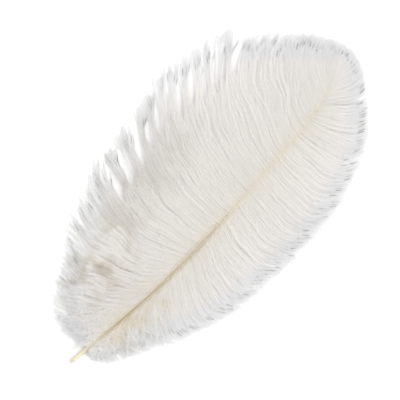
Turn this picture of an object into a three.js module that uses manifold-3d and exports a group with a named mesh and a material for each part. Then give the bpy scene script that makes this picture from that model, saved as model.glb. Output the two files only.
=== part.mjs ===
// An ostrich plume lying on a flat surface: one shaft, and on each side of it the soft mass of loose barbs.
// Sizes are in millimetres. +X runs from the quill to the tip, +Y is to the left of the shaft, +Z is up.
import * as THREE from "three";
import { mergeVertices } from "three/addons/utils/BufferGeometryUtils.js";
import Module from "manifold-3d";

const wasm = await Module();
wasm.setup();

// The shaft's centre line, from the cut end of the quill: along, across and up.
const shaftRoute = [
  [0, 0, 1.5],
  [22, -3, 1.9],
  [50, -6.7, 3.4],
  [90, -10.2, 5.8],
  [135, -11.4, 7.2],
  [180, -10.9, 7.3],
  [220, -9.6, 6.2],
  [252, -7, 4.6],
  [277, 0, 2.9],
];

// Where the tips of the barbs end, seen from above, from the quill end to the tip.
const leftOutline = [
  [14, 1],
  [11, 14],
  [13, 28],
  [29, 42],
  [56, 62],
  [93, 78],
  [130, 84],
  [166, 91],
  [205, 86],
  [236, 75],
  [254, 64],
  [271, 49],
  [284, 33],
  [293, 20],
  [298, 8],
  [299, 2.2],
];
const rightOutline = [
  [11, -5],
  [13, -14],
  [24, -23],
  [42, -33],
  [64, -47],
  [95, -61],
  [135, -68],
  [180, -70],
  [215, -66],
  [245, -57],
  [262, -47],
  [275, -36],
  [286, -25],
  [294, -13],
  [298, -4],
  [299, 1.8],
];

const quillRadius = 1.4;
const quillLength = 24; // the even part of the shaft at its base
const boreRadius = 1.0;
const boreDepth = 14;
const boreTaper = 2.5; // length over which the bore closes at its inner end
const midRadius = 0.6; // halfway along the shaft
const tipRadius = 0.25;
const shaftSides = 12;
const shaftStep = 6;

const firstBarb = 14; // from the cut end to the root of the lowest barb
const rimHeight = 1.0; // thickness of a vane where the barbs end
const puffHeight = 1.1; // how far a vane bulges above a straight slope from the shaft to its rim
const stepsAlong = 44;
const stepsAcross = 8;
const meshGap = 0.35; // clear space between pieces that touch

const route = new THREE.CatmullRomCurve3(
  shaftRoute.map((point) => new THREE.Vector3(...point)),
  false,
  "centripetal",
);
const shaftLength = route.getLength();

// Outer radius at a distance from the cut end: an even quill, then a long taper to the tip.
function shaftRadius(distance) {
  if (distance <= quillLength) return quillRadius;
  const along = (distance - quillLength) / (shaftLength - quillLength);
  const bend = Math.log((quillRadius - tipRadius) / (midRadius - tipRadius)) / Math.log(2);
  return tipRadius + (quillRadius - tipRadius) * Math.pow(1 - along, bend);
}

// Turns a shape along +Y, such as a lathed rod, into one that follows the shaft's route.
function bendAlongRoute(geometry) {
  const place = geometry.getAttribute("position");
  const up = new THREE.Vector3(0, 0, 1);
  for (let i = 0; i < place.count; i += 1) {
    const distance = place.getY(i);
    const share = THREE.MathUtils.clamp(distance / shaftLength, 0, 1);
    const centre = route.getPointAt(share);
    const ahead = route.getTangentAt(share);
    const side = new THREE.Vector3().crossVectors(up, ahead).normalize();
    const above = new THREE.Vector3().crossVectors(ahead, side);
    centre.addScaledVector(ahead, distance - share * shaftLength);
    centre.addScaledVector(side, place.getX(i));
    centre.addScaledVector(above, -place.getZ(i));
    place.setXYZ(i, centre.x, centre.y, centre.z);
  }
  return geometry;
}

// A rod round the route, thicker than the shaft by a clearance. With no clearance its quill is bored out.
function shaftShape(clearance) {
  const start = -clearance;
  const end = shaftLength + clearance;
  const profile = [];
  if (clearance === 0) {
    profile.push([0, boreDepth], [boreRadius * 0.7, boreDepth - boreTaper / 3]);
    profile.push([boreRadius, boreDepth - boreTaper], [boreRadius, 0]);
  } else {
    profile.push([0, start]);
  }
  profile.push([quillRadius + clearance, start]);
  const rings = Math.round(shaftLength / shaftStep);
  for (let ring = 1; ring <= rings; ring += 1) {
    const distance = (shaftLength * ring) / rings;
    profile.push([shaftRadius(distance) + clearance, start + ((end - start) * ring) / rings]);
  }
  profile.push([0, end]);
  const points = profile.map(([radius, distance]) => new THREE.Vector2(radius, distance));
  return bendAlongRoute(new THREE.LatheGeometry(points, shaftSides));
}

// A block bent to one vane: its floor is flat, its inner side runs under the shaft, its rim follows the outline.
function vaneShape(outlinePoints, side) {
  const outline = new THREE.SplineCurve(outlinePoints.map((point) => new THREE.Vector2(...point)));
  const geometry = new THREE.BoxGeometry(1, 1, 1, stepsAlong, stepsAcross, 1);
  const place = geometry.getAttribute("position");
  for (let i = 0; i < place.count; i += 1) {
    const along = place.getX(i) + 0.5;
    const across = 0.5 + side * place.getY(i);
    const share = (firstBarb + along * (shaftLength - firstBarb)) / shaftLength;
    const root = route.getPointAt(share);
    const ahead = route.getTangentAt(share);
    const rim = outline.getPointAt(along);
    const fromX = root.x - (side * ahead.y * meshGap) / 2;
    const fromY = root.y + (side * ahead.x * meshGap) / 2;
    const slope = THREE.MathUtils.lerp(root.z, rimHeight, across);
    const top = slope + puffHeight * Math.sin(Math.PI * across);
    place.setXYZ(
      i,
      THREE.MathUtils.lerp(fromX, rim.x, across),
      THREE.MathUtils.lerp(fromY, rim.y, across),
      place.getZ(i) > 0 ? top : 0,
    );
  }
  return geometry;
}

function toSolid(geometry) {
  const bare = geometry.clone();
  bare.deleteAttribute("normal");
  bare.deleteAttribute("uv");
  const merged = mergeVertices(bare, 1e-3);
  return new wasm.Manifold(
    new wasm.Mesh({
      numProp: 3,
      vertProperties: new Float32Array(merged.getAttribute("position").array),
      triVerts: new Uint32Array(merged.index.array),
    }),
  );
}

function toGeometry(solid) {
  const mesh = solid.getMesh();
  const geometry = new THREE.BufferGeometry();
  geometry.setAttribute("position", new THREE.BufferAttribute(mesh.vertProperties, 3));
  geometry.setIndex(new THREE.BufferAttribute(mesh.triVerts, 1));
  const split = geometry.toNonIndexed();
  split.computeVertexNormals();
  return split;
}

function addPiece(group, name, geometry, material) {
  const piece = new THREE.Mesh(geometry, material);
  piece.name = name;
  group.add(piece);
}

const keratin = new THREE.MeshStandardMaterial({ color: "#d9c7a2", roughness: 0.45, metalness: 0 });
const leftDown = new THREE.MeshStandardMaterial({ color: "#ece7df", roughness: 0.95, metalness: 0 });
const rightDown = leftDown.clone();

const plume = new THREE.Group();
const shaftSpace = toSolid(shaftShape(meshGap));
const leftVane = toSolid(vaneShape(leftOutline, 1)).subtract(shaftSpace);
const rightVane = toSolid(vaneShape(rightOutline, -1)).subtract(shaftSpace);
addPiece(plume, "shaft", shaftShape(0), keratin);
addPiece(plume, "left_vane", toGeometry(leftVane), leftDown);
addPiece(plume, "right_vane", toGeometry(rightVane), rightDown);

// The part's origin is under the middle of its box, on the surface that it lies on.
const box = new THREE.Box3().setFromObject(plume);
const middle = box.getCenter(new THREE.Vector3());
plume.position.set(-middle.x, -middle.y, -box.min.z);

const part = new THREE.Group();
part.add(plume);

export default part;
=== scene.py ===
import math

import bmesh
import bpy
import numpy as np
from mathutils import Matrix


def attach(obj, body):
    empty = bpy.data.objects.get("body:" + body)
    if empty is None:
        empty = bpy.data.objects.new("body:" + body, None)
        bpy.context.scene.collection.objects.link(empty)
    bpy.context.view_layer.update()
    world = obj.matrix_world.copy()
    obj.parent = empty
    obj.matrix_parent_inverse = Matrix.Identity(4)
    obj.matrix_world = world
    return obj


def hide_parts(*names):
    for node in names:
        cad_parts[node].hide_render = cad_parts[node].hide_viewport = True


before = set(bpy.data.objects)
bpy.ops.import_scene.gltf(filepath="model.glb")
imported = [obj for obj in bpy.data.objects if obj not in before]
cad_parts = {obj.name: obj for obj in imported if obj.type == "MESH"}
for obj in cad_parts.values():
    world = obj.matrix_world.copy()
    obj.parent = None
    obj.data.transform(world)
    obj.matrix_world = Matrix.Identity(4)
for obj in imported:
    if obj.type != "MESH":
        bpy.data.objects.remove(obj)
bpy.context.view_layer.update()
mm = 0.001
randomNumbers = np.random.default_rng(11)


def toLinear(hexColour):
    # an sRGB hex value as the linear numbers that shaders take
    shares = [int(hexColour[i:i + 2], 16) / 255 for i in (1, 3, 5)]
    linear = [s / 12.92 if s <= 0.04045 else ((s + 0.055) / 1.055) ** 2.4 for s in shares]
    return (*linear, 1.0)


def addNode(tree, kind, settings=None, links=None):
    # links maps an input of the new node, by name or number, to the output socket that feeds it
    node = tree.nodes.new(kind)
    for name, value in (settings or {}).items():
        if isinstance(name, int) or name in node.inputs:
            node.inputs[name].default_value = value
        else:
            setattr(node, name, value)
    for name, socket in (links or {}).items():
        tree.links.new(socket, node.inputs[name])
    return node


def newMaterial(name):
    material = bpy.data.materials.new(name)
    material.use_nodes = True
    tree = material.node_tree
    tree.nodes.clear()
    return material, tree


def ramp(tree, factor, stops):
    node = addNode(tree, "ShaderNodeValToRGB", links={"Fac": factor})
    elements = node.color_ramp.elements
    while len(elements) < len(stops):
        elements.new(1.0)
    for element, (place, hexColour) in zip(elements, stops):
        element.position = place
        element.color = toLinear(hexColour)
    return node.outputs["Color"]


def calculate(tree, operation, *terms):
    # terms are numbers or output sockets
    numbers = {i: term for i, term in enumerate(terms) if isinstance(term, float)}
    sockets = {i: term for i, term in enumerate(terms) if i not in numbers}
    return addNode(tree, "ShaderNodeMath", {"operation": operation, **numbers}, sockets).outputs["Value"]


def mapRange(tree, value, source=(0.0, 1.0), target=(0.0, 1.0)):
    settings = dict(zip(("From Min", "From Max", "To Min", "To Max"), (*source, *target)))
    return addNode(tree, "ShaderNodeMapRange", settings, {"Value": value}).outputs["Result"]


def mixColour(tree, blend, amount, colour, hexColour):
    settings = {"blend_type": blend, "Color2": toLinear(hexColour)}
    return addNode(tree, "ShaderNodeMixRGB", settings, {"Fac": amount, "Color1": colour}).outputs["Color"]


def evenLine(line, count):
    # the same line as evenly spaced places
    gone = np.concatenate([[0], np.cumsum(np.linalg.norm(np.diff(line, axis=0), axis=1))])
    even = np.linspace(0, gone[-1], count)
    return np.stack([np.interp(even, gone, line[:, k]) for k in range(line.shape[1])], 1)


curveSteps = 40  # points worked out for each point that a smooth line runs through


def smoothLine(points, count):
    # a Catmull-Rom curve through the points
    p = np.array(points, float)
    p = np.vstack([2 * p[0] - p[1], p, 2 * p[-1] - p[-2]])
    t = np.linspace(0, len(points) - 1, curveSteps * len(points))
    i = np.minimum(t.astype(int), len(points) - 2)
    f = (t - i)[:, None]
    a, b, c, d = p[i], p[i + 1], p[i + 2], p[i + 3]
    line = b + 0.5 * f * (c - a + f * (2 * a - 5 * b + 4 * c - d + f * (3 * b - a - 3 * c + d)))
    return evenLine(line, count)


def smoothStep(low, high, value):
    t = np.clip((value - low) / (high - low), 0, 1)
    return t * t * (3 - 2 * t)


def smoothNoise(count, reach):
    # random numbers of about -1 to 1 that change slowly from one barb to the next
    kernel = np.exp(-0.5 * (np.arange(-3 * reach, 3 * reach + 1) / reach) ** 2)
    kernel /= np.sqrt((kernel ** 2).sum())
    raw = randomNumbers.normal(size=count + len(kernel) - 1)
    return np.convolve(raw, kernel, "valid")


def byShare(pairs, share):
    places, values = zip(*pairs)
    return np.interp(share, places, values)


def unit(vectors):
    return vectors / np.linalg.norm(vectors, axis=-1, keepdims=True)


ringGap = 1.0  # mm; the rings of the CAD shaft are further apart than this
coarseSteps = 24  # points that the rings are evened out to
fineSteps = 561  # points of the centre line that the barbs grow from


def readShaftLine(node):
    # the rings of the CAD shaft, met from the cut end to the tip, give its centre line
    places = np.array([v.co for v in node.data.vertices]) / mm
    places = places[np.argsort(places[:, 0])]
    rings = np.split(places, np.flatnonzero(np.diff(places[:, 0]) > ringGap) + 1)
    centres = np.array([(ring.min(0) + ring.max(0)) / 2 for ring in rings])
    return evenLine(evenLine(centres, coarseSteps), fineSteps)


shaftLine = readShaftLine(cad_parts["shaft"])
shaftTurn = np.unwrap(np.arctan2(*np.gradient(shaftLine[:, :2], axis=0).T[::-1]))
shaftLength = np.linalg.norm(np.diff(shaftLine, axis=0), axis=1).sum()
cutEnd = shaftLine[0]

shaft = {  # mm
    "quillRadius": 1.4,
    "quillLength": 24.0,  # the even part at the base
    "midRadius": 0.6,  # halfway along
    "tipRadius": 0.25,
    "boreRadius": 1.0,
    "boreDepth": 14.0,
    "boreEnd": [(0.0, 0.35), (0.8, 0.7), (2.5, 1.0)],  # mm short of its inner end, share of its radius
    "rimInside": (0.2, 0.08),  # bevel of the cut rim towards the bore: along and across
    "rimOutside": (0.12, 0.1),
    "sides": 32,
    "step": 3.0,  # between rings
    "grooveStart": (18.0, 42.0),  # from the cut end: where the groove begins, past the bore, and is full
    "grooveDepth": 0.3,  # share of the radius
    "grooveHalf": 34.0,  # degrees to each side of the top
}


def shaftRadius(distance):
    along = np.clip((distance - shaft["quillLength"]) / (shaftLength - shaft["quillLength"]), 0, 1)
    span = shaft["quillRadius"] - shaft["tipRadius"]
    bend = math.log(span / (shaft["midRadius"] - shaft["tipRadius"])) / math.log(2)
    return shaft["tipRadius"] + span * (1 - along) ** bend


def alongShaft(distance):
    # place of the shaft's centre, and the way it points, at distances from the cut end
    at = distance / shaftLength * (len(shaftLine) - 1)
    index = np.arange(len(shaftLine))
    place = np.stack([np.interp(at, index, shaftLine[:, k]) for k in range(3)], 1)
    return place, np.interp(at, index, shaftTurn)


def shaftProfile():
    # distance from the cut end and radius: out of the bore, round the cut rim, along the outside to the tip
    bore, depth, outer = shaft["boreRadius"], shaft["boreDepth"], shaft["quillRadius"]
    inside = [(depth - short, part * bore) for short, part in shaft["boreEnd"]]
    (innerAlong, innerAcross), (outerAlong, outerAcross) = shaft["rimInside"], shaft["rimOutside"]
    rim = [(innerAlong, bore), (0.0, bore + innerAcross), (0.0, outer - outerAcross), (outerAlong, outer)]
    rings = np.linspace(0, shaftLength, int(shaftLength / shaft["step"]))[1:]
    outside = [(float(d), float(shaftRadius(d))) for d in rings]
    return inside + rim + outside


def bendRod(bm):
    # the rod stands along +Z, its top towards +Y: its groove is pressed in, and it is laid along the shaft
    ahead = unit(np.gradient(shaftLine, axis=0))
    spots = {}
    for vertex in bm.verts:
        x, y, distance = vertex.co
        fromTop = math.degrees(math.atan2(x, y))
        depth = shaft["grooveDepth"] * smoothStep(*shaft["grooveStart"], distance)
        inGroove = 0.5 + 0.5 * math.cos(math.pi * min(abs(fromTop) / shaft["grooveHalf"], 1))
        scale = 1 - depth * inGroove
        x, y = x * scale, y * scale
        at = min(max(distance / shaftLength, 0), 1) * (len(shaftLine) - 1)
        low = min(int(at), len(shaftLine) - 2)
        centre = shaftLine[low] + (shaftLine[low + 1] - shaftLine[low]) * (at - low)
        side = unit(np.cross((0, 0, 1), ahead[low]))
        above = np.cross(ahead[low], side)
        spots[vertex] = (distance / shaftLength, 0.5 - fromTop / 360)
        vertex.co = (centre + side * x + above * y) * mm
    return spots


def makeShaft(material):
    bm = bmesh.new()
    profile = shaftProfile()
    distance, radius = profile[0]
    ring = bmesh.ops.create_circle(bm, cap_ends=True, segments=shaft["sides"], radius=radius)["verts"]
    bmesh.ops.translate(bm, vec=(0, 0, distance), verts=ring)
    edges = bm.edges[:]
    for nextDistance, nextRadius in profile[1:]:
        grown = bmesh.ops.extrude_edge_only(bm, edges=edges)["geom"]
        ring = [item for item in grown if isinstance(item, bmesh.types.BMVert)]
        edges = [item for item in grown if isinstance(item, bmesh.types.BMEdge)]
        scale = nextRadius / radius
        bmesh.ops.scale(bm, vec=(scale, scale, 1), verts=ring)
        bmesh.ops.translate(bm, vec=(0, 0, nextDistance - distance), verts=ring)
        distance, radius = nextDistance, nextRadius
    bmesh.ops.edgeloop_fill(bm, edges=edges)
    bmesh.ops.recalc_face_normals(bm, faces=bm.faces[:])

    # in an order that is the same each run
    bm.verts.index_update()
    count = len(bm.verts)
    corners = {face: [vertex.index for vertex in face.verts] for face in bm.faces}
    bm.faces.sort(key=lambda face: min(corners[face]) * count + max(corners[face]))

    spots = bendRod(bm)
    layer = bm.loops.layers.uv.new("OFBake")
    for face in bm.faces:
        face.smooth = len(face.verts) == 4
        turns = [spots[loop.vert][1] for loop in face.loops]
        crosses = max(turns) - min(turns) > 0.5
        for loop, turn in zip(face.loops, turns):
            seam = 1.0 if crosses and turn < 0.5 else 0.0
            loop[layer].uv = (spots[loop.vert][0], turn + seam)
    mesh = bpy.data.meshes.new("shaft_horn")
    bm.to_mesh(mesh)
    bm.free()
    piece = bpy.data.objects.new("shaft_horn", mesh)
    bpy.context.scene.collection.objects.link(piece)
    mesh.materials.append(material)
    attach(piece, "root")
    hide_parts("shaft")
    print("made", piece.name, len(mesh.polygons), "faces")


outline = {  # mm from the cut end, along the feather and across it: where the barbs end
    "left": [
        (14, 1), (11, 14), (13, 28), (29, 42), (56, 62), (93, 78), (130, 84), (166, 91),
        (205, 86), (236, 75), (254, 64), (271, 49), (284, 33), (293, 20), (298, 8), (299, 2),
    ],
    "right": [
        (11, -5), (13, -14), (24, -23), (42, -33), (64, -47), (95, -61), (135, -68), (180, -70),
        (215, -66), (245, -57), (262, -47), (275, -36), (286, -25), (294, -13), (298, -4), (299, 2),
    ],
}


outlineSteps = 80  # points on each side


def outlineLoop():
    left = smoothLine(outline["left"], outlineSteps)
    right = smoothLine(outline["right"], outlineSteps)
    return np.vstack([left, right[::-1]]) + cutEnd[:2]


def isInside(places, loop):
    # counts how often a line from each place towards +X crosses the loop
    x, y = places[..., 0], places[..., 1]
    inside = np.zeros(x.shape, bool)
    for (ax, ay), (bx, by) in zip(loop, np.roll(loop, -1, axis=0)):
        if ay == by:
            continue
        crosses = (ay > y) != (by > y)
        inside ^= crosses & (x < ax + (bx - ax) * (y - ay) / (by - ay))
    return inside


# barbs are the long limp side branches of the shaft, each fringed with downy barbules
barbs = {
    "firstRoot": 15.0,  # mm from the cut end to the lowest barb
    "lastRoot": 0.5,  # mm from the highest barb to the shaft's tip
    "rootStray": 0.25,  # share of the room between two barbs by which they stray from even places
    "bareTip": 0.3,  # mm of the shaft's tip that none strays onto
    "tipCrowding": 1.3,  # how much closer together they grow at the tip
    "crowdShare": (0.8, 1.0),  # along the shaft: from not at all to all of that
    "steps": 30,  # points along a barb
    "left": {  # degrees from the shaft, by share along it: as a barb leaves it and as it ends
        "leave": [
            (0, 155), (0.1, 155), (0.2, 150), (0.28, 142), (0.33, 130), (0.38, 116), (0.45, 103),
            (0.55, 92), (0.65, 82), (0.75, 78), (0.85, 70), (0.92, 54), (0.97, 36), (1, 6),
        ],
        "arrive": [
            (0, 150), (0.1, 130), (0.2, 102), (0.28, 78), (0.36, 57), (0.45, 46), (0.55, 38),
            (0.65, 32), (0.75, 25), (0.85, 18), (0.93, 11), (1, 3),
        ],
        "bend": [(0, 1.8), (0.28, 1.5), (0.45, 1.1), (1, 1.05)],  # higher: the turn comes later along a barb
    },
    "right": {
        "leave": [
            (0, 144), (0.1, 145), (0.2, 138), (0.3, 129), (0.38, 118), (0.5, 107), (0.6, 102),
            (0.72, 99), (0.8, 95), (0.87, 79), (0.93, 50), (0.97, 27), (1, 6),
        ],
        "arrive": [
            (0, 130), (0.1, 112), (0.2, 92), (0.3, 74), (0.4, 58), (0.5, 44), (0.6, 35),
            (0.7, 26), (0.8, 14), (0.9, 7), (1, 2),
        ],
        "bend": [(0, 2.4), (0.5, 2.8), (1, 2.8)],
    },
    "rootOut": 0.7,  # share of the shaft's radius from its centre out to a root
    "rootUp": 0.55,  # share of it from its centre up to a root
    "cover": 1.6,  # mm that they start past the shaft's centre where they hide it
    "coverHeight": 0.25,  # mm above the shaft's top there
    "coverShare": (0.42, 0.62),  # along the shaft: from none hidden to all of it
    "jitter": (0.25, 0.5),  # degrees: of single barbs, of neighbours together
    "jitterReach": 7,  # barbs that are such neighbours
    "jitterFade": 1.4,  # times that at the quill, and 1 less at the tip
    "jitterShare": (0.6, 1.8),  # of it at a barb's root and at its end
    "partShare": 0.4,  # of the degrees of a parting at a barb's root
    "stemRadius": 0.19,  # mm
    "stemTaper": 0.75,  # share of it that is gone at the end
    "tuft": (1.8, 4.0),  # mm of shaft whose barbs end together in one tuft
    "shortBy": (5.0, 14.0),  # mm by which the much shorter barbs of a layer are shorter
    "unevenFrom": 70.0,  # mm; the ends of shorter barbs are more even
    "bands": 216,  # strips of the texture map, one a barb: no piece may have more barbs
    "mapEnds": 20.0,  # mm at each end of a barb that take a good third of its strip
}

waves = {  # from side to side, as seen from above
    "length": 26.0,  # mm
    "height": 0.65,  # mm
    "spread": 0.4,  # share by which the height differs between barbs
    "fade": (1.2, 0.6),  # times the height at the quill, and how much less that is at the tip
    "start": (0.05, 0.45),  # share along a barb: from none to full
    "shared": 1.8,  # radians by which neighbours differ together
    "sharedReach": 9,  # barbs
    "single": 0.3,  # radians by which single barbs differ
    "swayLength": 62.0,  # mm; whole sheaves of barbs sway together
    "swayHeight": 1.3,  # mm
    "swayStart": (0.0, 0.4),
    "swayShared": 2.0,  # radians
    "swayReach": (16, 12),  # barbs that share the place of a sway, and that share its height
}

clinging = {  # barbs drawn together in groups: mm of shaft in a group, how strongly, where along a barb
    "near": {"width": (2.0, 5.0), "strength": (0.0, 0.1), "from": (0.12, 0.3), "to": (0.4, 0.7)},
    "far": {"width": (2.5, 7.0), "strength": (0.0, 0.08), "from": (0.35, 0.65)},
    "tuft": {"strength": (0.0, 0.14), "from": (0.84, 0.97)},
}

heights = {
    "tip": 0.6,  # mm above the surface
    "least": 0.3,  # mm
    "archPower": 0.7,  # below 1 the arch of a layer is highest nearer to the shaft
    "fallPower": 1.15,  # above 1 barbs fall faster from the height of their root
    "spread": (0.7, 0.6),  # times the spread of a layer: of single barbs, of neighbours together
    "spreadReach": 3,  # barbs
    "spreadPower": 0.6,  # below 1 they differ nearer to their ends
    "dip": 0.15,  # mm that they lie lower beside the bare shaft
    "dipReach": (1.0, 5.0),  # mm from it
}

# arch, spread, shift: mm that a layer's barbs rise, differ by and root higher; pitch: mm between barbs;
# part: share of the partings that it shows; lane: which of the lanes below it has;
# ends: mm past the outline that tufts end; inside: mm that single barbs are shorter, at most;
# short: share of the barbs that are much shorter; barbulePitch: mm; tipReach: times the barbules' length
layers = [  # from the top one down
    {
        "arch": 2.4, "spread": 0.25, "shift": 0.3, "pitch": 1.45, "part": 1.0, "lane": 0,
        "ends": (-1.0, 1.8), "inside": 8.0, "short": 0.12, "barbulePitch": 0.16, "tipReach": 1.0,
    },
    {
        "arch": 1.8, "spread": 0.3, "shift": 0.0, "pitch": 1.7, "part": 0.3, "lane": 1,
        "ends": (-1.0, 1.8), "inside": 2.0, "short": 0.0, "barbulePitch": 0.2, "tipReach": 1.3,
    },
    {
        "arch": 1.1, "spread": 0.3, "shift": -0.2, "pitch": 2.6, "part": 0.0, "lane": 1,
        "ends": (0.2, 2.8), "inside": 0.0, "short": 0.0, "barbulePitch": 0.24, "tipReach": 1.6,
    },
]
# across a strip of the texture map: the stem's place and its barbules' reach; in the first, which is
# the middle of the strip, the painted shade by the stems shows and there are barbules on both sides
lanes = [(0.5, 0.2), (0.75, 0.22)]

wisps = {  # where the fringe of the left vane parts into loose wisps
    "share": (0.33, 0.42, 0.66, 0.78),  # along the shaft: from none to most and back to none
    "width": (4.5, 10.0),  # mm of shaft whose barbs make one wisp
    "apart": (0.61, 0.77),  # share along a barb: where they begin to part and where they are apart
    "again": (0.88, 0.98),  # share along a barb over which they spread again
    "spread": 0.5,  # share of the pull that is gone there
    "pull": (0.62, 0.9),  # share of the way that they are drawn to the middle of their wisp
    "count": 70,  # more than fit along the shaft
    "ends": (2.0, 12.0),  # mm past the outline
    "round": 2.5,  # mm by which the outer barbs of a wisp are shorter
    "turn": 6.0,  # degrees
    "stray": 2.5,  # degrees by which single barbs turn out of their wisp
    "slim": 0.42,  # times the length of the other barbules where the wisps are apart
    "fluff": 1.15,  # times that length at their ends
    "fluffFrom": (0.88, 0.96),  # share along a barb: from slim to fluffy
}

partings = {  # share along the shaft, degrees that the barbs part, share over which that fades
    "left": [(0.09, 1.5, 0.025), (0.2, 1.4, 0.035), (0.31, 1.0, 0.03)],
    "right": [(0.13, 1.5, 0.03), (0.26, 1.0, 0.03)],
}

downyBase = {  # the lowest barbs are softer and more tangled
    "share": (0.08, 0.3),  # along the shaft: from most to none
    "jitter": 7.0,  # degrees
    "waves": 2.5,  # times the height of the other barbs' waves
    "moreWaves": 0.6,  # share by which there are more of them
    "stray": 2.0,  # radians by which single barbs' waves differ more
    "reach": 1.35,  # times the length of the other barbules
    "fuzz": 1.7,  # times the spread of their directions
}

tangle = {  # short curled barbs that lie over the others at the base
    "count": 100,  # on each side
    "share": (0.02, 0.26),  # along the shaft
    "length": (8.0, 30.0),  # mm
    "leave": (85.0, 160.0),  # degrees from the shaft
    "curl": 110.0,  # degrees that they turn along their length
    "turned": (30.0, 165.0),  # degrees from the shaft: the least and the most at their ends
    "shortest": 0.45,  # times the length of the others at the quill
    "shortShare": (0.0, 0.12),  # along the shaft: from that to full length
    "rootOut": 0.6,  # share of the shaft's radius
    "waveLength": 14.0,  # mm
    "waveHeight": 1.2,  # mm
    "height": (0.8, 3.4),  # mm that they arch above the shaft's side
    "archPower": 0.6,
    "sink": 0.6,  # mm below the shaft's centre line at their roots
    "fall": 0.7,  # share of the shaft's height that is gone at their ends
    "endHeight": 1.2,  # mm
    "barbulePitch": 0.22,  # mm
}

barbules = {
    "reach": [(0, 1.7), (0.05, 2.0), (0.25, 2.1), (0.7, 2.4), (0.9, 2.0), (1, 1.4)],  # mm, by share along
    "reachSpread": (0.65, 1.15),  # times that, the least and the most
    "tipShare": (0.86, 0.96),  # along a barb: from there they are as long as the layer's tipReach says
    "lean": 52.0,  # degrees from the barb
    "leanSpread": 9.0,
    "leanLess": 0.4,  # share by which they lean less at a barb's end
    "leanShare": (0.88, 1.0),  # along a barb: from none to all of that
    "droop": 18.0,  # degrees below the barb's own plane
    "droopSpread": 16.0,
    "evener": 0.7,  # share of the downy base's fuzz that is gone at a barb's end
    "evenerShare": (0.8, 0.95),
    "shorter": 0.5,  # share by which they are shorter beside the bare shaft
    "shorterReach": (0.3, 4.0),  # mm from it
    "width": 0.26,  # mm
    "fewest": 4,  # on each side of a barb
    "last": 0.995,  # share along a barb
    "least": 0.12,  # mm above the surface
}

wispEdges = np.concatenate([[0], np.cumsum(randomNumbers.uniform(*wisps["width"], wisps["count"]))])
wispEnds = randomNumbers.uniform(*wisps["ends"], len(wispEdges))
wispTurns = randomNumbers.normal(0, wisps["turn"], len(wispEdges))
wispPulls = randomNumbers.uniform(*wisps["pull"], len(wispEdges))


def barbRoots(pitch):
    # distances along the shaft, closer together at the tip
    gridSteps = 2000
    grid = np.linspace(barbs["firstRoot"], shaftLength - barbs["lastRoot"], gridSteps)
    share = (grid - grid[0]) / (grid[-1] - grid[0])
    density = (1 + barbs["tipCrowding"] * smoothStep(*barbs["crowdShare"], share)) / pitch
    count = np.concatenate([[0], np.cumsum((density[1:] + density[:-1]) / 2 * np.diff(grid))])
    wanted = np.arange(0.5, count[-1], 1.0)
    return np.interp(wanted, count, grid)


def planPath(root, turn, leave, arrive, bend, length, steps):
    # a barb seen from above: it leaves the shaft at one angle and bends round to another
    u = np.linspace(0, 1, steps)
    angle = leave[:, None] + (arrive - leave)[:, None] * u[None, :] ** bend[:, None]
    way = np.stack([np.cos(turn[:, None] + angle), np.sin(turn[:, None] + angle)], 2)
    step = (way[:, 1:] + way[:, :-1]) / 2 * (length / (steps - 1))[:, None, None]
    return root[:, None, :] + np.concatenate([np.zeros_like(way[:, :1]), np.cumsum(step, 1)], 1)


def reachOfOutline(root, turn, leave, arrive, bend, loop):
    # the length at which each barb's tip lies on the outline, from a first guess and closer each round
    length = np.full(len(root), 60.0)
    stretch = 1.6
    rounds = 6
    steps = 120
    skipped = 4  # steps beside the shaft, which may lie outside the loop
    for _ in range(rounds):
        path = planPath(root, turn, leave, arrive, bend, length * stretch, steps)
        outside = ~isInside(path, loop)
        outside[:, :skipped] = False
        outside[:, -1] = True
        share = np.argmax(outside, 1) / (steps - 1)
        length = length * stretch * share
    return length


def partedBy(sideName, share):
    # degrees by which partings turn the barbs beside them, towards the tip or the quill
    turned = np.zeros(len(share))
    for place, degrees, fade in partings[sideName]:
        away = share - place
        turned -= np.sign(away) * degrees * np.exp(-np.abs(away) / fade)
    return turned


def groupByPlace(roots, width):
    # numbers the neighbourhoods along the shaft that barbs share
    edges = np.cumsum(randomNumbers.uniform(*width, int(shaftLength / width[0]) + 1))
    return np.searchsorted(edges, roots)


def pullTogether(path, group, pulls, amount):
    # pulls the barbs of each group towards the middle of the group
    middle = np.zeros((group.max() + 1, *path.shape[1:]))
    np.add.at(middle, group, path)
    middle /= np.maximum(np.bincount(group), 1)[:, None, None]
    pull = pulls[group][:, None] * amount
    return path + (middle[group] - path) * pull[..., None]


def sideways(path):
    # to each barb's left, as seen from above
    way = unit(np.gradient(path, axis=1))
    return np.stack([-way[..., 1], way[..., 0]], 2)


def rootPlaces(side, layer, roots, place, turn, hides):
    # on the side of the shaft, and further up past its top, where they hide it
    radius = shaftRadius(roots)
    outward = side * np.stack([-np.sin(turn), np.cos(turn)], 1)
    out = barbs["rootOut"] * radius * (1 - hides) - barbs["cover"] * hides
    up = radius * (barbs["rootUp"] + (1 - barbs["rootUp"]) * hides) + barbs["coverHeight"] * hides
    return place[:, :2] + outward * out[:, None], place[:, 2] + up + layer["shift"]


def barbAngles(sideName, side, layer, share, downy):
    count = len(share)
    single, shared = barbs["jitter"]
    jitter = randomNumbers.normal(0, single, count) + shared * smoothNoise(count, barbs["jitterReach"])
    jitter = jitter * (barbs["jitterFade"] - share)
    jitter = jitter + downy * downyBase["jitter"] * randomNumbers.normal(size=count)
    parted = partedBy(sideName, share) * layer["part"]
    angles = barbs[sideName]
    atRoot, atEnd = barbs["jitterShare"]
    leave = byShare(angles["leave"], share) + atRoot * jitter + barbs["partShare"] * parted
    arrive = byShare(angles["arrive"], share) + atEnd * jitter + parted
    return side * np.radians(leave), side * np.radians(arrive), byShare(angles["bend"], share)


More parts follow.
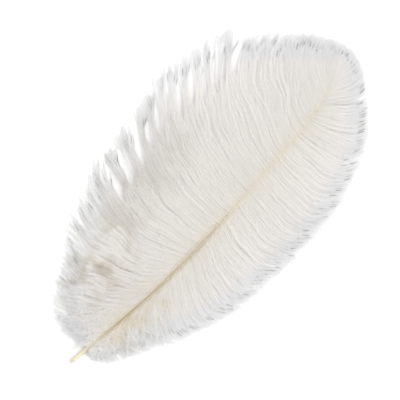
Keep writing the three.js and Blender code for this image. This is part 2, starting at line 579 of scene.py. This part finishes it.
def pastOutline(layer, tuft, wisp, fromMiddle, wispy):
    # mm by which barbs end past the outline, or short of it
    count = len(tuft)
    ends = randomNumbers.uniform(*layer["ends"], tuft.max() + 1)[tuft]
    ends = ends - layer["inside"] * randomNumbers.uniform(0, 1, count) ** 2
    short = randomNumbers.uniform(0, 1, count) < layer["short"]
    ends = ends - short * randomNumbers.uniform(*barbs["shortBy"], count)
    return ends + wispy * (wispEnds[wisp] - wisps["round"] * fromMiddle ** 2)


def wave(path, across, length, share, downy, u):
    # gentle waves, much alike in neighbouring barbs, and sheaves that sway together
    count = len(length)
    phase = 2 * math.pi * (u * length[:, None] / waves["length"])
    phase = phase * (1 + downyBase["moreWaves"] * downy[:, None])
    alike = waves["shared"] * smoothNoise(count, waves["sharedReach"])
    single = waves["single"] + downyBase["stray"] * downy
    phase = phase + (alike + single * randomNumbers.normal(size=count))[:, None]
    height = waves["height"] * (1 + waves["spread"] * randomNumbers.normal(size=count))
    most, less = waves["fade"]
    height = height * (1 + (downyBase["waves"] - 1) * downy) * (most - less * share)
    waved = height[:, None] * smoothStep(*waves["start"], u) * np.sin(phase)
    placeReach, heightReach = waves["swayReach"]
    swing = 2 * math.pi * u * length[:, None] / waves["swayLength"]
    swing = swing + waves["swayShared"] * smoothNoise(count, placeReach)[:, None]
    sway = waves["swayHeight"] * smoothNoise(count, heightReach)[:, None]
    sway = sway * smoothStep(*waves["swayStart"], u) * np.sin(swing)
    sway = sway * np.minimum(1, length / barbs["unevenFrom"])[:, None]
    return path + across * (waved + sway)[..., None]


def cling(path, roots, tuft, u):
    # neighbours cling together, in other groups near the shaft than further out, and end in tufts
    for name in ("near", "far"):
        grip = clinging[name]
        amount = smoothStep(*grip["from"], u)
        if "to" in grip:
            amount = amount * (1 - smoothStep(*grip["to"], u))
        group = groupByPlace(roots, grip["width"])
        pulls = randomNumbers.uniform(*grip["strength"], group.max() + 1)
        path = pullTogether(path, group, pulls, amount)
    grip = clinging["tuft"]
    pulls = randomNumbers.uniform(*grip["strength"], tuft.max() + 1)
    return pullTogether(path, tuft, pulls, smoothStep(*grip["from"], u))


def partWisps(path, across, length, wisp, wispy, u):
    # wisps draw together, with slits between them, and turn a little aside
    apart = smoothStep(*wisps["apart"], u) * (1 - wisps["spread"] * smoothStep(*wisps["again"], u))
    path = pullTogether(path, wisp, wispPulls, apart * wispy[:, None])
    begin = wisps["apart"][0]
    late = np.maximum(u - begin, 0)
    astray = np.radians(wispTurns[wisp] + wisps["stray"] * randomNumbers.normal(size=len(length)))
    aside = np.tan(astray) * wispy * length
    return path + across * (aside[:, None] * late ** 2 / (1 - begin) / 2)[..., None]


def barbHeights(layer, rootHeight, length, hides, downy, u):
    # mm above the surface
    count = len(length)
    single, shared = heights["spread"]
    level = single * randomNumbers.normal(size=count) + shared * smoothNoise(count, heights["spreadReach"])
    level = layer["spread"] * level * (1 + downy)
    rise = layer["arch"] * np.sin(math.pi * u ** heights["archPower"])
    rise = rise + level[:, None] * np.sin(math.pi * u) ** heights["spreadPower"]
    z = rootHeight[:, None] * (1 - u) ** heights["fallPower"] + heights["tip"] * u + rise
    beside = 1 - smoothStep(*heights["dipReach"], u * length[:, None])
    z = z - (1 - hides)[:, None] * heights["dip"] * beside
    return np.maximum(z, heights["least"])


def growLayer(sideName, side, layer):
    roots = barbRoots(layer["pitch"])
    stray = barbs["rootStray"]
    roots = roots + randomNumbers.uniform(-stray, stray, len(roots)) * layer["pitch"]
    roots = np.clip(roots, barbs["firstRoot"], shaftLength - barbs["bareTip"])
    count = len(roots)
    share = (roots - barbs["firstRoot"]) / (shaftLength - barbs["firstRoot"])
    place, turn = alongShaft(roots)
    hides = smoothStep(*barbs["coverShare"], share)
    downy = 1 - smoothStep(*downyBase["share"], share)
    wispy = smoothStep(*wisps["share"][:2], share) * (1 - smoothStep(*wisps["share"][2:], share)) * (side > 0)
    wisp = np.searchsorted(wispEdges, roots) - 1
    wispMiddle = (wispEdges[wisp] + wispEdges[wisp + 1]) / 2
    fromMiddle = 2 * np.abs(roots - wispMiddle) / (wispEdges[wisp + 1] - wispEdges[wisp])

    root, rootHeight = rootPlaces(side, layer, roots, place, turn, hides)
    leave, arrive, bend = barbAngles(sideName, side, layer, share, downy)
    length = reachOfOutline(root, turn, leave, arrive, bend, outlineLoop())
    tuft = groupByPlace(roots, barbs["tuft"])
    ends = pastOutline(layer, tuft, wisp, fromMiddle, wispy)
    length = length + ends * np.minimum(1, length / barbs["unevenFrom"])

    u = np.linspace(0, 1, barbs["steps"])[None, :]
    path = planPath(root, turn, leave, arrive, bend, length, barbs["steps"])
    across = sideways(path)
    path = wave(path, across, length, share, downy, u)
    path = cling(path, roots, tuft, u)
    path = partWisps(path, across, length, wisp, wispy, u)
    z = barbHeights(layer, rootHeight, length, hides, downy, u)
    return {
        "path": np.concatenate([path, z[..., None]], 2),
        "length": length,
        "share": share,
        "pitch": np.full(count, layer["barbulePitch"]),
        "lane": np.full(count, layer["lane"]),
        "tipReach": np.full(count, layer["tipReach"]),
        "reach": 1 + (downyBase["reach"] - 1) * downy,
        "wispy": wispy,
        "open": 1 - hides,
        "fuzz": 1 + (downyBase["fuzz"] - 1) * downy,
    }


def growTangle(side):
    count = tangle["count"]
    share = np.sort(randomNumbers.uniform(*tangle["share"], count))
    roots = barbs["firstRoot"] + share * (shaftLength - barbs["firstRoot"])
    place, turn = alongShaft(roots)
    outward = side * np.stack([-np.sin(turn), np.cos(turn)], 1)
    root = place[:, :2] + outward * (tangle["rootOut"] * shaftRadius(roots))[:, None]
    leave = np.radians(randomNumbers.uniform(*tangle["leave"], count))
    arrive = leave + np.radians(tangle["curl"]) * randomNumbers.uniform(-1, 1, count)
    arrive = np.clip(arrive, *np.radians(tangle["turned"]))
    length = randomNumbers.uniform(*tangle["length"], count)
    shortest = tangle["shortest"]
    length = length * (shortest + (1 - shortest) * smoothStep(*tangle["shortShare"], share))
    path = planPath(root, turn, side * leave, side * arrive, np.ones(count), length, barbs["steps"])
    u = np.linspace(0, 1, barbs["steps"])[None, :]
    across = sideways(path)
    phase = randomNumbers.uniform(0, 2 * math.pi, (count, 1))
    phase = phase + 2 * math.pi * u * length[:, None] / tangle["waveLength"]
    path = path + across * (tangle["waveHeight"] * u * np.sin(phase))[..., None]
    lift = randomNumbers.uniform(*tangle["height"], (count, 1))
    z = place[:, 2][:, None] * (1 - tangle["fall"] * u) - tangle["sink"] * (1 - u)
    z = z + lift * np.sin(math.pi * u ** tangle["archPower"]) + tangle["endHeight"] * u
    return {
        "path": np.concatenate([path, np.maximum(z, heights["least"])[..., None]], 2),
        "length": length,
        "share": share,
        "pitch": np.full(count, tangle["barbulePitch"]),
        "lane": np.ones(count, int),
        "tipReach": np.ones(count),
        "reach": np.full(count, downyBase["reach"]),
        "wispy": np.zeros(count),
        "open": np.ones(count),
        "fuzz": np.full(count, downyBase["fuzz"]),
    }


endRoom = 0.35  # share of a barb's strip of the texture map that each of its ends takes up


def stripPlace(distance, length):
    # place along a barb's strip of the texture map, which gives most of its room to the barb's two ends
    fromRoot = np.minimum(distance / barbs["mapEnds"], 1)
    toEnd = 1 - np.minimum((length - distance) / barbs["mapEnds"], 1)
    return endRoom * fromRoot + (1 - 2 * endRoom) * distance / length + endRoom * toEnd


def sample(values, barb, u):
    # values along each barb, read between its points
    at = u * (values.shape[1] - 1)
    low = np.minimum(at.astype(int), values.shape[1] - 2)
    f = (at - low)[:, None]
    return values[barb, low] * (1 - f) + values[barb, low + 1] * f


stemHalf = 0.02  # share of a strip of the texture map that a stem takes on each side of its line


def barbStems(grown):
    # a three-sided tapering rod round each barb's path
    path, across, above = grown["path"], grown["across"], grown["above"]
    count, steps = path.shape[:2]
    u = np.linspace(0, 1, steps)
    radius = barbs["stemRadius"] * (1 - barbs["stemTaper"] * u)[None, :, None]
    corners = []
    for turn in (90, 210, 330):
        a = math.radians(turn)
        corners.append(path + radius * (math.cos(a) * across + math.sin(a) * above))
    vertices = np.stack(corners, 2).reshape(-1, 3)
    base = (np.arange(count)[:, None] * steps + np.arange(steps - 1)[None, :]) * 3
    strip = stripPlace(u[None, :] * grown["length"][:, None], grown["length"][:, None])
    uLow, uHigh = strip[:, :-1].ravel(), strip[:, 1:].ravel()
    middle = np.array(lanes)[grown["lane"], 0]
    line = np.repeat((np.arange(count) + middle) / barbs["bands"], steps - 1)
    edge = stemHalf / barbs["bands"]
    faces, spots = [], []
    for k in range(3):
        m = (k + 1) % 3
        quad = np.stack([base + k, base + m, base + 3 + m, base + 3 + k], -1).reshape(-1, 4)
        faces += [quad[:, [0, 1, 2]], quad[:, [0, 2, 3]]]
        spot = [np.stack([uLow, line - edge], 1), np.stack([uLow, line + edge], 1)]
        spot += [np.stack([uHigh, line + edge], 1), np.stack([uHigh, line - edge], 1)]
        spots += [np.stack([spot[0], spot[1], spot[2]], 1), np.stack([spot[0], spot[2], spot[3]], 1)]
    return vertices, np.concatenate(faces), np.concatenate(spots)


def barbBarbules(grown):
    # downy blades down both sides of each barb, leaning towards its tip
    count = len(grown["length"])
    each = np.maximum((grown["length"] / grown["pitch"]).astype(int), barbules["fewest"])
    barb = np.repeat(np.arange(count), each * 2)
    total = len(barb)
    side = np.tile([1.0, -1.0], total // 2)
    first = np.concatenate([[0], np.cumsum(each * 2)[:-1]])
    order = (np.arange(total) - first[barb]) // 2
    u = (order + randomNumbers.uniform(0, 1, total)) / each[barb]
    u = np.clip(u, 0.0, barbules["last"])
    base = sample(grown["path"], barb, u)
    way = unit(sample(grown["way"], barb, u))
    across = unit(sample(grown["across"], barb, u)) * side[:, None]
    above = unit(sample(grown["above"], barb, u))
    even = 1 - barbules["evener"] * smoothStep(*barbules["evenerShare"], u)
    fuzz = 1 + (grown["fuzz"][barb] - 1) * even
    leaned = barbules["lean"] + barbules["leanSpread"] * fuzz * randomNumbers.normal(size=total)
    lean = np.radians(leaned) * (1 - barbules["leanLess"] * smoothStep(*barbules["leanShare"], u))
    droop = np.radians(barbules["droop"] + barbules["droopSpread"] * fuzz * randomNumbers.normal(size=total))
    reach = byShare(barbules["reach"], u) * grown["reach"][barb]
    reach = reach * randomNumbers.uniform(*barbules["reachSpread"], total)
    reach = reach * (1 + (grown["tipReach"][barb] - 1) * smoothStep(*barbules["tipShare"], u))
    slim = (wisps["slim"] - 1) * smoothStep(*wisps["apart"], u)
    fluff = (wisps["fluff"] - wisps["slim"]) * smoothStep(*wisps["fluffFrom"], u)
    reach = reach * (1 + grown["wispy"][barb] * (slim + fluff))
    nearShaft = 1 - smoothStep(*barbules["shorterReach"], u * grown["length"][barb])
    reach = reach * (1 - barbules["shorter"] * nearShaft * grown["open"][barb])
    out = across * np.cos(droop)[:, None] - above * np.sin(droop)[:, None]
    blade = way * np.cos(lean)[:, None] + out * np.sin(lean)[:, None]
    half = way * (barbules["width"] / 2)
    tip = base + blade * reach[:, None]
    vertices = np.stack([base - half, base + half, tip], 1)
    vertices[..., 2] = np.maximum(vertices[..., 2], barbules["least"])
    index = np.arange(total * 3).reshape(-1, 3)
    flip = side > 0
    faces = np.where(flip[:, None], index, index[:, [1, 0, 2]])
    middle, breadth = np.array(lanes)[grown["lane"][barb]].T
    line = (barb + middle) / barbs["bands"]
    aside = np.where(grown["lane"][barb] == 0, side, 1.0) * breadth / barbs["bands"]
    whole = grown["length"][barb]
    gone = u * whole
    forward = np.clip(gone + reach * np.cos(lean), 0, whole)
    spots = np.stack([
        np.stack([stripPlace(gone - barbules["width"] / 2, whole), line], 1),
        np.stack([stripPlace(gone + barbules["width"] / 2, whole), line], 1),
        np.stack([stripPlace(forward, whole), line + aside], 1),
    ], 1)
    spots = np.where(flip[:, None, None], spots, spots[:, [1, 0, 2]])
    return vertices.reshape(-1, 3), faces, np.clip(spots, 0, 1)


def makeMesh(name, parts):
    vertices, faces, spots, start = [], [], [], 0
    for v, f, s in parts:
        vertices.append(v)
        faces.append(f + start)
        spots.append(s)
        start += len(v)
    vertices = np.concatenate(vertices) * mm
    faces = np.concatenate(faces)
    spots = np.concatenate(spots)
    mesh = bpy.data.meshes.new(name)
    mesh.vertices.add(len(vertices))
    mesh.vertices.foreach_set("co", vertices.astype(np.float32).ravel())
    mesh.loops.add(faces.size)
    mesh.loops.foreach_set("vertex_index", faces.astype(np.int32).ravel())
    mesh.polygons.add(len(faces))
    mesh.polygons.foreach_set("loop_start", np.arange(0, faces.size, 3, dtype=np.int32))
    mesh.update(calc_edges=True)
    layer = mesh.uv_layers.new(name="OFBake")
    layer.uv.foreach_set("vector", spots.astype(np.float32).ravel())
    piece = bpy.data.objects.new(name, mesh)
    bpy.context.scene.collection.objects.link(piece)
    return piece


def addFrames(grown):
    way = unit(np.gradient(grown["path"], axis=1))
    up = np.array([0.0, 0.0, 1.0])
    across = unit(np.cross(np.broadcast_to(up, way.shape), way))
    grown["way"] = way
    grown["across"] = across
    grown["above"] = np.cross(way, across)
    return grown


# a vane's pieces: name and share along the shaft from which and up to which they root
regions = [("base", 0.0, 0.26), ("lower", 0.26, 0.48), ("upper", 0.48, 0.72), ("tip", 0.72, 1.01)]


def makeVane(sideName, side, material):
    grownLayers = [growLayer(sideName, side, layer) for layer in layers] + [growTangle(side)]
    grown = {key: np.concatenate([g[key] for g in grownLayers]) for key in grownLayers[0]}
    for region, low, high in regions:
        keep = (grown["share"] >= low) & (grown["share"] < high)
        part = addFrames({key: value[keep] for key, value in grown.items()})
        piece = makeMesh(f"{sideName}_{region}_barbs", [barbStems(part), barbBarbules(part)])
        piece.data.materials.append(material)
        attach(piece, "root")
        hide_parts(f"{sideName}_vane")
        print("made", piece.name, len(piece.data.polygons), "triangles", int(keep.sum()), "barbs")


downLook = {
    "along": [  # from a barb's root to its end, by place along its strip of the texture map
        (0.0, "#fdf9f0"), (0.07, "#fefbf5"), (0.16, "#fefcf9"),
        (0.56, "#fefcfa"), (0.68, "#fafafa"), (1.0, "#fcfcfc"),
    ],
    "cream": "#fdf4e3",  # the roots of the barbs are creamy beside the lower part of the shaft
    "creamAlong": [(0.0, "#a0a0a0"), (0.03, "#606060"), (0.11, "#000000")],
    "creamReach": (-30.0, 30.0),  # mm along the feather: where all of it is so and where least is
    "creamLeast": 0.1,
    "tickShade": "#b8b8b7",  # painted shade: grey by the stems near the barbs' ends, standing in for the shadows between the ends of neighbouring barbs
    "tickShadeAlong": [(0.81, "#000000"), (0.86, "#ffffff"), (0.93, "#ffffff"), (0.96, "#000000")],
    "tickShadeStray": (-0.03, 0.07),  # share of the strip by which that place varies
    "tickShadeChance": (-0.3, 0.8),  # on a scale of 0 to 1 of chance: where it is not seen and where it is clear
    "tickShadeAcross": (0.03, 0.08),  # share of a strip's width, from the stem out
    "tickShadeReach": (-140.0, -60.0),  # mm along the feather: where least of it shows and where all does
    "tickShadeLeast": 0.25,
    "leastValue": 0.965,  # of the least bleached barb
    "through": 0.5,  # share of the light that goes through
    "patchSize": 12.0,  # mm
    "patchEdge": (0.4, 0.62),  # of the noise: where a patch begins and where it is full
    "patches": [  # colour, place in the part's own frame and reach to each side in mm, share that is patchy
        ("#e4dfd4", (-84.0, 24.0), (48.0, 28.0), 1.0),  # painted shade: duller, greyer down where shadows lie among the downy barbs near the quill
        ("#faf6eb", (-94.0, -24.0), (40.0, 22.0), 1.0),  # creamier down beside the quill
        ("#ecebe9", (-26.0, 50.0), (80.0, 40.0), 0.45),  # painted shade, greyer where the barbs lie deeper and overlapped
    ],
}


def downMaterial():
    # bleached down: soft white keratin fibres that scatter light and let some through, creamy at the root,
    # with painted shade near the barbs' ends and in two patches
    material, tree = newMaterial("bleachedDown")
    spot = addNode(tree, "ShaderNodeUVMap", {"uv_map": "OFBake"})
    strip = addNode(tree, "ShaderNodeSeparateXYZ", links={"Vector": spot.outputs["UV"]})
    place = addNode(tree, "ShaderNodeTexCoord").outputs["Object"]
    axes = addNode(tree, "ShaderNodeSeparateXYZ", links={"Vector": place})
    fromRoot, alongFeather = strip.outputs["X"], axes.outputs["X"]

    # no two barbs are bleached quite alike
    band = calculate(tree, "MULTIPLY", strip.outputs["Y"], float(barbs["bands"]))
    chance = addNode(tree, "ShaderNodeTexWhiteNoise", {"noise_dimensions": "1D"},
                     {"W": calculate(tree, "FLOOR", band)})
    value = mapRange(tree, chance.outputs["Value"], target=(downLook["leastValue"], 1.0))
    varied = addNode(tree, "ShaderNodeHueSaturation",
                     links={"Color": ramp(tree, fromRoot, downLook["along"]), "Value": value})

    # painted shade by the stems near the barbs' ends, for the shadows between them
    offset = calculate(tree, "ABSOLUTE", calculate(tree, "SUBTRACT", calculate(tree, "FRACT", band), 0.5))
    tickShade = mapRange(tree, offset, downLook["tickShadeAcross"], (1.0, 0.0))
    chances = addNode(tree, "ShaderNodeSeparateColor", links={"Color": chance.outputs["Color"]})
    stray = mapRange(tree, chances.outputs["Blue"], target=downLook["tickShadeStray"])
    inTickShade = ramp(tree, calculate(tree, "ADD", fromRoot, stray), downLook["tickShadeAlong"])
    strength = mapRange(tree, chances.outputs["Green"], downLook["tickShadeChance"])
    reach = [distance * mm for distance in downLook["tickShadeReach"]]
    fullness = mapRange(tree, alongFeather, reach, (downLook["tickShadeLeast"], 1.0))
    tickShadeAmount = calculate(tree, "MULTIPLY", tickShade, inTickShade)
    tickShadeAmount = calculate(tree, "MULTIPLY", tickShadeAmount, strength)
    tickShadeAmount = calculate(tree, "MULTIPLY", tickShadeAmount, fullness)
    colour = mixColour(tree, "MIX", tickShadeAmount, varied.outputs["Color"], downLook["tickShade"])

    # creamy roots
    reach = [distance * mm for distance in downLook["creamReach"]]
    lowerPart = mapRange(tree, alongFeather, reach, (1.0, downLook["creamLeast"]))
    creamy = calculate(tree, "MULTIPLY", ramp(tree, fromRoot, downLook["creamAlong"]), lowerPart)
    colour = mixColour(tree, "MULTIPLY", creamy, colour, downLook["cream"])

    # a few places of another tint, patchy and soft at their edges: two are painted shade, one is creamier
    # down
    patches = addNode(tree, "ShaderNodeTexNoise", {"Scale": 1000 / downLook["patchSize"], "Detail": 2.0},
                      {"Vector": place})
    for tone, (x, y), (wide, high), patchiness in downLook["patches"]:
        patch = mapRange(tree, patches.outputs["Fac"], downLook["patchEdge"], (1 - patchiness, 1.0))
        local = addNode(tree, "ShaderNodeMapping", {
            "vector_type": "TEXTURE", "Location": (x * mm, y * mm, 0.0), "Scale": (wide * mm, high * mm, 1.0),
        }, {"Vector": place})
        near = addNode(tree, "ShaderNodeTexGradient", {"gradient_type": "SPHERICAL"},
                       {"Vector": local.outputs["Vector"]})
        amount = calculate(tree, "MULTIPLY", near.outputs["Fac"], patch)
        colour = mixColour(tree, "MULTIPLY", amount, colour, tone)

    main = addNode(tree, "ShaderNodeBsdfPrincipled", {
        "Roughness": 0.75, "IOR": 1.45, "Specular IOR Level": 0.2,
    }, {"Base Color": colour})
    through = addNode(tree, "ShaderNodeBsdfTranslucent", links={"Color": colour})
    mix = addNode(tree, "ShaderNodeMixShader", {"Fac": downLook["through"]},
                  {1: main.outputs["BSDF"], 2: through.outputs["BSDF"]})
    addNode(tree, "ShaderNodeOutputMaterial", links={"Surface": mix.outputs["Shader"]})
    return material


hornLook = {
    "wall": ("#ccc1a5", "#ece4cf"),  # darker and lighter streaks
    "wallEdge": (0.35, 0.65),  # of the noise: where it is darkest and where it is lightest
    # painted shade: the groove's darker dull gold stands in for the shadowed line along the shaft
    "groove": "#a5977c",
    "grooveEdge": (0.06, 0.1),  # share of a turn from the top: where it begins to end and where it ends
    "grooveStart": (0.04, 0.16),  # share of the length
    "streaks": (30.0, 26.0),  # along and round the shaft: about 9 mm long and 0.3 mm wide
    "roughness": 0.5,
    "bumpStrength": 0.25,
    "bumpDepth": 0.1,  # mm
}


def hornMaterial():
    # keratin of the shaft: pale horn with painted shade, a darker dull gold, in its groove, fine lines along
    # it and a soft shine
    material, tree = newMaterial("shaftKeratin")
    spot = addNode(tree, "ShaderNodeUVMap", {"uv_map": "OFBake"})
    split = addNode(tree, "ShaderNodeSeparateXYZ", links={"Vector": spot.outputs["UV"]})
    inner, outer = hornLook["grooveEdge"]
    across = ramp(tree, split.outputs["Y"], [
        (0.0, "#000000"), (0.5 - outer, "#000000"), (0.5 - inner, "#ffffff"),
        (0.5 + inner, "#ffffff"), (0.5 + outer, "#000000"),
    ])
    along = mapRange(tree, split.outputs["X"], hornLook["grooveStart"])
    stretch = addNode(tree, "ShaderNodeVectorMath", {"operation": "MULTIPLY", 1: (*hornLook["streaks"], 1.0)},
                      {0: spot.outputs["UV"]})
    streaks = addNode(tree, "ShaderNodeTexNoise", {"Scale": 1.0, "Detail": 3.0},
                      {"Vector": stretch.outputs["Vector"]})
    wall = ramp(tree, streaks.outputs["Fac"], list(zip(hornLook["wallEdge"], hornLook["wall"])))
    # painted shade in the groove
    colour = mixColour(tree, "MIX", calculate(tree, "MULTIPLY", across, along), wall, hornLook["groove"])
    bump = addNode(tree, "ShaderNodeBump", {
        "Strength": hornLook["bumpStrength"], "Distance": hornLook["bumpDepth"] * mm,
    }, {"Height": streaks.outputs["Fac"]})
    main = addNode(tree, "ShaderNodeBsdfPrincipled", {"Roughness": hornLook["roughness"], "IOR": 1.55}, {
        "Base Color": colour, "Normal": bump.outputs["Normal"],
    })
    addNode(tree, "ShaderNodeOutputMaterial", links={"Surface": main.outputs["BSDF"]})
    return material


down = downMaterial()
makeShaft(hornMaterial())
makeVane("left", 1, down)
makeVane("right", -1, down)


studio = {
    "floorSize": 3.0,  # m, from its middle to each side
    "floorColour": "#eeeeee",
    "floorRoughness": 0.9,
    "worldStrength": 0.98,
    "keySize": 1.4,  # m
    "keyPower": 12.9,  # W
    "keyPlace": (0.85, 0.25, 1.5),  # m to the picture's right, up and towards the camera
}

view = {
    "height": 1.3,  # m
    "across": 0.2864,  # m of the surface that the picture is wide
    "turn": 47.4,  # degrees from the picture's level to the feather
    "centre": (146.9, 10.5),  # mm from the cut end
    "sensor": 36.0,  # mm
    "farthest": 20.0,  # m
}


def makeFloor():
    # matt paper: plain and pale, with no shine, so that only the feather is looked at
    material, tree = newMaterial("paperSweep")
    main = addNode(tree, "ShaderNodeBsdfPrincipled", {
        "Base Color": toLinear(studio["floorColour"]), "Roughness": studio["floorRoughness"],
    })
    addNode(tree, "ShaderNodeOutputMaterial", links={"Surface": main.outputs["BSDF"]})
    bm = bmesh.new()
    bmesh.ops.create_grid(bm, x_segments=1, y_segments=1, size=studio["floorSize"])
    mesh = bpy.data.meshes.new("floor")
    bm.to_mesh(mesh)
    bm.free()
    mesh.materials.append(material)
    floor = bpy.data.objects.new("floor", mesh)
    bpy.context.scene.collection.objects.link(floor)


def addLight(name, size, power, place):
    light = bpy.data.lights.new(name, "AREA")
    light.shape = "DISK"
    light.size = size
    light.energy = power
    lamp = bpy.data.objects.new(name, light)
    x, y, z = place
    lamp.location = place
    lamp.rotation_euler = (math.atan2(math.hypot(x, y), z), 0, math.atan2(x, -y))
    bpy.context.scene.collection.objects.link(lamp)


def makeWorld(strength):
    world = bpy.data.worlds.new("studio")
    world.use_nodes = True
    background = world.node_tree.nodes["Background"]
    background.inputs["Color"].default_value = (1.0, 1.0, 1.0, 1.0)
    background.inputs["Strength"].default_value = strength
    bpy.context.scene.world = world


def makeStudio():
    turn = math.radians(view["turn"])
    right = np.array([math.cos(turn), -math.sin(turn), 0.0])
    upward = np.array([math.sin(turn), math.cos(turn), 0.0])
    x, y, z = studio["keyPlace"]
    place = x * right + y * upward + np.array([0, 0, z])
    addLight("key", studio["keySize"], studio["keyPower"], tuple(place))
    makeWorld(studio["worldStrength"])


def makeCamera():
    lens = bpy.data.cameras.new("camera")
    lens.sensor_width = view["sensor"]
    lens.lens = view["sensor"] * view["height"] / view["across"]
    lens.clip_end = view["farthest"]
    camera = bpy.data.objects.new("camera", lens)
    x, y = (cutEnd[0] + view["centre"][0]) * mm, (cutEnd[1] + view["centre"][1]) * mm
    camera.location = (x, y, view["height"])
    camera.rotation_euler = (0, 0, -math.radians(view["turn"]))
    bpy.context.scene.collection.objects.link(camera)
    bpy.context.scene.camera = camera


makeFloor()
makeStudio()
makeCamera()
bpy.context.scene.view_settings.view_transform = "Standard"
print("floor, light and camera are set")
